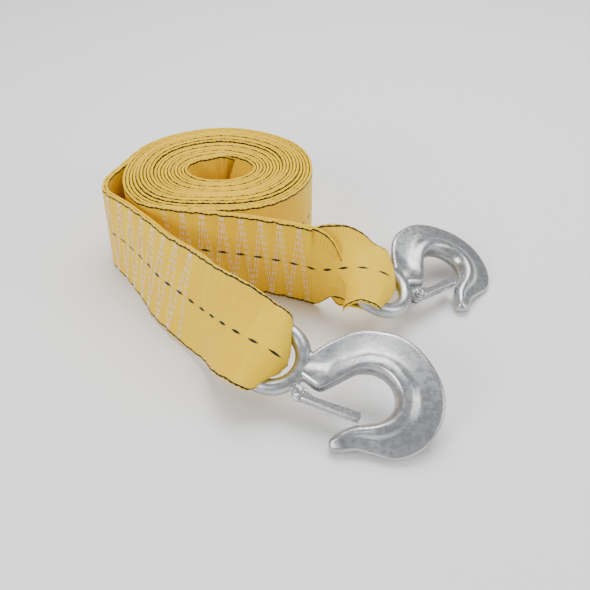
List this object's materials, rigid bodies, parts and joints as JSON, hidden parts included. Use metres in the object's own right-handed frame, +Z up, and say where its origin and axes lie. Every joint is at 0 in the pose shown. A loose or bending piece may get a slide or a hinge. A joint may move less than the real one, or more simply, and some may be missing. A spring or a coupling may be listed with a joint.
{
  "type": "tow strap",
  "caption": "Woven webbing tow strap folded in half and rolled up, with a forged eye hook with a sprung latch sewn into a loop at each end.",
  "frame": {"origin": "middle of the overall box, on the floor that the roll and the hooks rest on", "axes": "+Z up, across the webbing's width; +Y from the front hook towards the back of the roll, the longest extent; +X from the roll towards the rear hook"},
  "size_m": [0.2296, 0.242, 0.051],
  "materials": {
    "webbing": "woven polyester webbing with black tracer threads",
    "forging": "bright zinc over a tumbled forging",
    "latch": "bright zinc plated sheet",
    "fastener": "plated rivet",
    "spring": "spring wire"
  },
  "bodies": {
    "strap": {"webbing_strap": "webbing", "hook_front": "forging", "latch_rivet_front": "fastener", "latch_spring_front": "spring", "hook_rear": "forging", "latch_rivet_rear": "fastener", "latch_spring_rear": "spring"},
    "latch_front": {"latch_front": "latch"},
    "latch_rear": {"latch_rear": "latch"}
  },
  "joints": [
    {"name": "latch_front_hinge", "type": "hinge", "parent": "strap", "child": "latch_front", "pos_m": [0.00107, -0.091, 0.0144], "axis": [0.1041, 0.4934, -0.8635], "range_deg": [-24, 0], "stiffness_Nm_per_rad": 0.02, "springref_deg": 20.05},
    {"name": "latch_rear_hinge", "type": "hinge", "parent": "strap", "child": "latch_rear", "pos_m": [0.06579, -0.01624, 0.01399], "axis": [-0.359, 0.213, -0.9087], "range_deg": [-24, 0], "stiffness_Nm_per_rad": 0.02, "springref_deg": 20.05}
  ]
}
